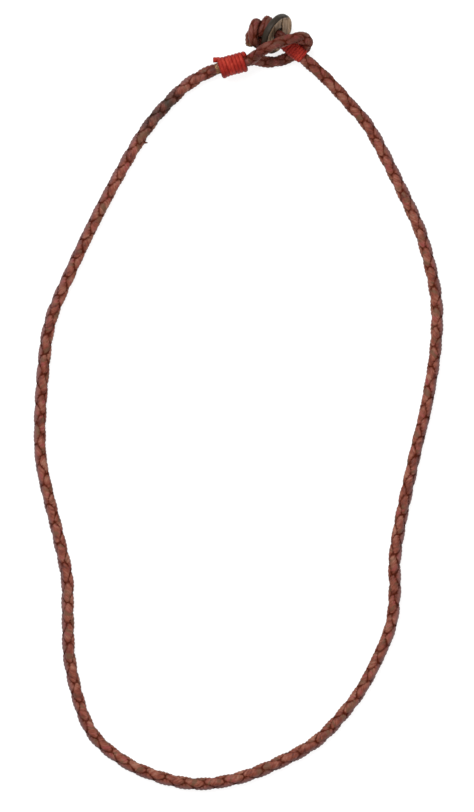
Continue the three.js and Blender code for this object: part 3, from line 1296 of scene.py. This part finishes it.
@dataclass
class Whipping:
    """Thread wound tightly round the cord or round two legs of it, from a loose end.

    Args:
        name: The piece's name.
        replaced: The CAD node that it stands for.
        axis: The line that it is wound round.
        start: Where along the line it begins.
        turns: How many turns it has.
        pitch: The distance from turn to turn.
        thread: The thread's thickness.
        core: The radius of the cord under it.
        half_rise: Half the height from the lower leg to the upper one.
        flare: How much wider it is wound at its last turn.
        ends: Points that the thread comes from before its first turn.
        slack: How far the first turn stands off.
        loose_length: The length of thread before its first turn.
        seed: Which unevenness its turns have.
    """

    name: str
    replaced: str
    axis: np.ndarray
    start: float
    turns: float
    pitch: float
    thread: float
    core: float
    half_rise: float = 0.0
    flare: float = 0.0
    ends: tuple[Triple, ...] = ()
    slack: float = 0.0
    loose_length: float = 0.0
    seed: int = 1
    plies: int = 3
    ply_depth: float = 0.05
    twist: float = 2.6
    sides: int = 18
    station: float = 0.17
    # The turns aren't quite round, nor quite evenly spaced.
    rounding: Unevenness = Unevenness(0.07, 1.7, 0)
    spacing: Unevenness = Unevenness(0.1, 2.3, 1)
    # How far past the cord's side its first point lies, as a share of a turn, and how squarely
    # it goes round two legs.
    lead: float = 0.04
    squareness: float = 4.0
    softening: float = 0.15
    # How high a ply's crest stands over its groove, as a multiple of the ply's depth. Painted
    # shade lies in the grooves between plies, and between turns from a share of half the pitch.
    crest: float = 1.6
    ply_groove_shade: float = 0.35
    ply_sharpness: float = 2.4
    turn_groove_shade: float = 0.8
    turn_groove: float = 0.6

    POINTS_A_TURN = 24
    STEPS_A_POINT = 8
    SAMPLE_STEP = 0.05

    def path(self) -> Centreline:
        """Winds the thread's middle round the axis, with the small faults of handwork.

        Returns:
            The thread's middle.
        """
        line = Centreline(self.axis)
        count = round(self.turns * self.POINTS_A_TURN)
        turned = np.arange(count + 1) / self.POINTS_A_TURN
        angle = math.pi - 2 * math.pi * (turned + self.lead)
        loose = self.slack * np.clip(1 - turned, 0, 1) * (1 - np.sin(angle)) / 2
        flared = self.core + self.flare * turned / self.turns
        radius = flared + self.thread / 2 + loose + self.rounding.at(turned, self.seed)
        along = self.start + self.pitch * (turned + self.spacing.at(turned, self.seed))
        middles, tangents, _, _ = line.at(np.clip(along, 0, line.length))
        side = unit(np.cross(-UP, tangents))
        over = unit(np.cross(side, tangents))
        legs = np.tanh(self.squareness * np.sin(angle)) * self.half_rise
        lift = radius * np.sin(angle) + legs
        points = middles + (radius * np.cos(angle))[:, None] * side + lift[:, None] * over
        route = [*np.array(self.ends).reshape(-1, 3), *points]
        curve = smooth_line(route, self.STEPS_A_POINT)
        return Centreline(curve, step=self.SAMPLE_STEP, softening=self.softening)

    def build(self, linen: bpy.types.Material) -> bpy.types.Object:
        """Lays up the thread from its plies and dresses it.

        Args:
            linen: The thread's finish.

        Returns:
            The whipping's object.
        """
        line = self.path()
        places = np.linspace(0, line.length, round(line.length / self.station) + 1)
        angle = np.arange(self.sides) * 2 * math.pi / self.sides + 0 * places[:, None]
        lay = angle - 2 * math.pi * places[:, None] / self.twist
        ridge = np.abs(np.cos(self.plies / 2 * lay))
        radius = self.thread / 2 * (1 - self.ply_depth + self.ply_depth * self.crest * ridge)
        rings = line.rings(places, angle, radius)
        round_about = (lay * self.thread / 2) % (math.pi * self.thread)
        aim = unit(self.axis[-1] - self.axis[0])
        beside = np.abs((rings - line.at(places)[0][:, None]) @ aim) / (self.pitch / 2)
        sunk_shade = ramp(beside, self.turn_groove, 1 - self.turn_groove)
        between = self.turn_groove_shade * sunk_shade * (places > self.loose_length)[:, None]
        within = np.clip(1 - ridge * self.ply_sharpness, 0, 1) * self.ply_groove_shade
        values = {
            "ply": np.stack([places[:, None] + 0 * angle, round_about, 0 * angle], -1),
            "groove_shade": np.maximum(within, between),
        }
        skin = Skin()
        skin.add_tube(rings, values)
        piece = skin.build(self.name, linen)
        place_piece(piece, (self.replaced,))
        return piece


@dataclass
class HornButton:
    """The horn button: a dished disc with a raised worn rim, a centre hole and a crack."""

    diameter: float = 11.0
    thickness: float = 1.9
    hole: float = 3.2
    rim_width: float = 0.9
    dish: float = 0.3
    back_rounding: float = 0.7
    front_rounding: float = 0.25
    # The hole's back edge has a bevel, its front edge is worn down over a width by a depth, and
    # the rim falls a little across its top.
    hole_bevel: float = 0.12
    hole_wear: Pair = (0.3, 0.2)
    rim_fall: float = 0.02
    # The crack runs from the hole to the rim: its ends, across and up the face.
    crack_start: Pair = (1.5, -0.5)
    crack_end: Pair = (4.4, 3.0)
    # The stretch that it covers from its start, how wide it is there, how much narrower it gets
    # for each millimetre, how deep it is, and the size, rate and shift of its two wobbles.
    crack_reach: Pair = (-0.3, 4.6)
    crack_width: float = 0.25
    crack_narrowing: float = 0.035
    crack_depth: float = 0.32
    crack_wobbles: tuple[Triple, ...] = ((0.1, 2.3, 0.0), (0.05, 5.9, 1.0))
    # The edge has worn out of round, in long and in short waves round it. Its face is furrowed
    # within the rim, and the whole disc is bent a little.
    edge_wear: tuple[tuple[int, Unevenness], ...] = (
        (3, Unevenness(0.06, 7, 3)), (9, Unevenness(0.03, 5, 4)),
    )
    furrows: Unevenness = Unevenness(0.035, 1.3, 8)
    furrowed_share: float = 0.97
    bend: Unevenness = Unevenness(0.05, 6, 9)
    # Soot lies in the crack, and painted shade and soot in a hollow above the hole, round the hole
    # and on the side towards the knot: how much, and over what distances.
    crack_soot: float = 1.8
    hollow_place: Pair = (0.1, 2.5)
    hollow_size: Pair = (2.2, 1.3)
    hollow_share: float = 0.8
    hollow_spread: float = 1.5
    hollow_shade_and_soot: float = 0.75
    hole_reach: float = 0.45
    hole_shade_and_soot: float = 0.85
    side_place: float = 3.4
    side_reach: float = 0.8
    side_shade_and_soot: float = 0.9
    # The wall below the front edge is dark, and so is the upper half of the rim. Each ramp is
    # where the dark begins and over what width it comes in: by the share of the radius, by the
    # depth below the middle, by the share again, and by the distance up the face.
    wall_ramp: Pair = (0.93, 0.04)
    below_ramp: Pair = (-0.8, 0.2)
    rim_ramp: Pair = (0.87, 0.04)
    upper_ramp: Pair = (-1.25, 2.5)
    segments: int = 180
    spacing: float = 0.14
    name: str = "horn_button"

    # The section's corners, inwards from the edge and up or down from the face, as shares of the
    # rounding. Those of the rim are shares of its width and of the dish's depth.
    BACK_ROUND = ((1.0, 0.0), (0.3, 0.3), (0.0, 1.0))
    FRONT_ROUND = ((0.0, 1.6), (0.5, 0.4), (1.4, 0.0))
    RIM_TOP = 0.8
    RIM_SLOPE = ((1.3, 0.8), (2.0, 1.0))

    def profile(self) -> np.ndarray:
        """Draws the half section, from the hole's back edge round to its front edge.

        Returns:
            Radius and height of each point.
        """
        radius, half, hole = self.diameter / 2, self.thickness / 2, self.hole / 2
        back, front, rim, dish = self.back_rounding, self.front_rounding, self.rim_width, self.dish
        worn_out, worn_down = self.hole_wear
        corners = [(hole, -half + self.hole_bevel), (hole + self.hole_bevel, -half)]
        corners += [(radius - back * across, -half + back * up) for across, up in self.BACK_ROUND]
        corners += [(radius - front * across, half - front * down) for across, down in self.FRONT_ROUND]
        corners += [(radius - rim * self.RIM_TOP, half - self.rim_fall)]
        corners += [(radius - rim * across, half - dish * down) for across, down in self.RIM_SLOPE]
        corners += [(hole + worn_out, half - dish), (hole, half - dish - worn_down)]
        outline = []
        for begin, finish in zip(corners, corners[1:] + corners[:1]):
            begin, finish = np.array(begin), np.array(finish)
            pieces = max(1, round(float(np.linalg.norm(finish - begin)) / self.spacing))
            outline += [begin + (finish - begin) * step / pieces for step in range(pieces)]
        return np.array(outline)

    def build(self, horn: bpy.types.Material) -> bpy.types.Object:
        """Turns the button, wears it and cracks it.

        Args:
            horn: Its finish.

        Returns:
            The button's object.
        """
        profile = self.profile()
        normal = direction(BUTTON_HEADING, BUTTON_RISE)
        long_way = unit(UP - normal * (UP @ normal))
        level = unit(np.cross(long_way, normal))
        angle = np.arange(self.segments)[:, None] * 2 * math.pi / self.segments
        radius = profile[None, :, 0] + 0 * angle
        height = profile[None, :, 1] + 0 * angle
        share = radius / (self.diameter / 2)
        worn = sum(wear.at(angle * rate) for rate, wear in self.edge_wear)
        radius = radius + worn * share**3
        x, y = radius * np.cos(angle), radius * np.sin(angle)
        front = height > 0
        begin, finish = np.array(self.crack_start), np.array(self.crack_end)
        run = unit(finish - begin)
        down = (x - begin[0]) * run[0] + (y - begin[1]) * run[1]
        off = (y - begin[1]) * run[0] - (x - begin[0]) * run[1]
        strayed = off
        for size, rate, shift in self.crack_wobbles:
            strayed = strayed + size * np.sin(rate * down + shift)
        width = self.crack_width - self.crack_narrowing * down
        cracked = np.exp(-((np.abs(strayed) / width) ** 2)) * front
        cracked = cracked * (down > self.crack_reach[0]) * (down < self.crack_reach[1])
        furrows = self.furrows.at(off) * front * (share < self.furrowed_share)
        height = height - self.crack_depth * cracked + furrows
        height = height + self.bend.at(x) * share
        points = (
            np.array(BUTTON_CENTRE)
            + x[..., None] * level
            + y[..., None] * long_way
            + height[..., None] * normal
        )
        grain = np.stack([off, down, height], -1)
        over = ((x - self.hollow_place[0]) / self.hollow_size[0]) ** 2
        over = over + ((y - self.hollow_place[1]) / self.hollow_size[1]) ** 2
        hollow = np.exp(-over) * (share < self.hollow_share) * front
        by_hole = np.exp(-(((radius - self.hole / 2) / self.hole_reach) ** 2))
        # Soot in the crack; painted shade and soot in the hollow, round the hole and on the side
        # towards the knot.
        soot_and_shade = np.max(
            [
                np.clip(cracked * self.crack_soot, 0, 1),
                self.hollow_shade_and_soot * np.clip(self.hollow_spread * hollow, 0, 1),
                self.hole_shade_and_soot * by_hole,
                self.side_shade_and_soot * ramp(-x, self.side_place, self.side_reach),
            ],
            axis=0,
        )
        wall = ramp(share, *self.wall_ramp) * ramp(-height, *self.below_ramp)
        rim = np.maximum(wall, ramp(share, *self.rim_ramp) * ramp(y, *self.upper_ramp))
        skin = Skin()
        skin.add_tube(points, {"grain": grain, "soot_and_shade": soot_and_shade, "rim": rim}, looped=True)
        piece = skin.build(self.name, horn)
        place_piece(piece, ("toggle_button",))
        return piece


@dataclass
class Studio:
    """The plain pale floor, the soft light and the camera straight above.

    Args:
        floor_level: The height of the lowest crest, which rests on the floor.
    """

    floor_level: float
    floor_size: float = 4000.0
    view_height: float = 211.85
    view_centre: Pair = (-0.13, -1.17)
    camera_height: float = 2500.0
    sight: float = 100_000.0
    sensor: float = 36.0
    sky: float = 0.6
    # Each softbox: its name, its place, its side and its power in watts.
    softboxes: tuple[tuple[str, Triple, float, float], ...] = (
        ("key_softbox", (-350, 500, 900), 700, 11.0),
        ("fill_softbox", (600, -300, 800), 900, 3.0),
    )

    def build(self, sheet: bpy.types.Material) -> None:
        """Lays the floor, hangs the lights and sets the camera.

        Args:
            sheet: The floor's finish.
        """
        self._camera()
        self._floor(sheet)
        world = bpy.data.worlds.new("soft_room")
        bpy.context.scene.world = world
        world.use_nodes = True
        sky = world.node_tree.nodes["Background"]
        sky.inputs["Color"].default_value = (1, 1, 1, 1)
        sky.inputs["Strength"].default_value = self.sky
        for name, place, size, power in self.softboxes:
            self._softbox(name, place, size, power)

    def _camera(self) -> None:
        """Points the camera straight down at the necklace."""
        data = bpy.data.cameras.new("camera")
        data.sensor_width = self.sensor
        data.lens = self.sensor * self.camera_height / self.view_height
        data.clip_end = self.sight * MM
        camera = add_object("camera", data)
        camera.location = Vector((*self.view_centre, self.camera_height)) * MM
        bpy.context.scene.camera = camera

    def _floor(self, sheet: bpy.types.Material) -> None:
        """Lays the level sheet under the necklace.

        Args:
            sheet: The sheet's finish.
        """
        half = self.floor_size / 2 * MM
        mesh = bpy.data.meshes.new("floor")
        mesh.from_pydata(
            [(-half, -half, 0), (half, -half, 0), (half, half, 0), (-half, half, 0)],
            [],
            [(0, 1, 2, 3)],
        )
        mesh.materials.append(sheet)
        floor = add_object("floor", mesh)
        floor.location.z = self.floor_level * MM

    def _softbox(
        self, name: str, place: Triple, size: float, power: float
    ) -> None:
        """Hangs a square lamp that faces the necklace.

        Args:
            name: The lamp's name.
            place: Where it hangs.
            size: Its side.
            power: Its power in watts.
        """
        data = bpy.data.lights.new(name, "AREA")
        data.size = size * MM
        data.energy = power
        lamp = add_object(name, data)
        lamp.location = Vector(place) * MM
        lamp.rotation_euler = (-lamp.location).to_track_quat("-Z", "Y").to_euler()


def main() -> None:
    """Builds the necklace's pieces in order, and the room that they are seen in."""
    logging.basicConfig(level=logging.INFO, format="%(name)s: %(message)s")
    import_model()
    bpy.context.scene.view_settings.view_transform = "Standard"

    linen = WaxedLinen().build()
    cord = BraidedCord().build(WaxedLeather().build())
    lowest = min(vertex.co.z for vertex in cord.data.vertices) / MM
    Studio(lowest).build(OpalAcrylic().build())
    whipped = np.array(LOOP_THREAD_START)
    along = direction(LOOP_THREAD_HEADING, 0)
    Whipping(
        name="loop_thread",
        replaced="loop_whipping",
        axis=np.array([whipped - along, whipped + along * LOOP_THREAD_REACH]),
        start=1.0,
        turns=7.1,
        pitch=0.93,
        thread=1.4,
        core=1.27,
        half_rise=1.65,
        ends=((-6.3, 88.9, 6.3), (-5.6, 88.9, 6.2)),
        slack=0.7,
        loose_length=1.5,
    ).build(linen)
    Whipping(
        name="button_thread",
        replaced="button_whipping",
        axis=smooth_line(BOUND_ROUTE),
        start=0.35,
        turns=7.2,
        pitch=0.74,
        thread=1.1,
        core=0.87,
        flare=0.4,
        seed=5,
    ).build(linen)
    HornButton().build(WornHorn().build())


if __name__ == "__main__":
    main()
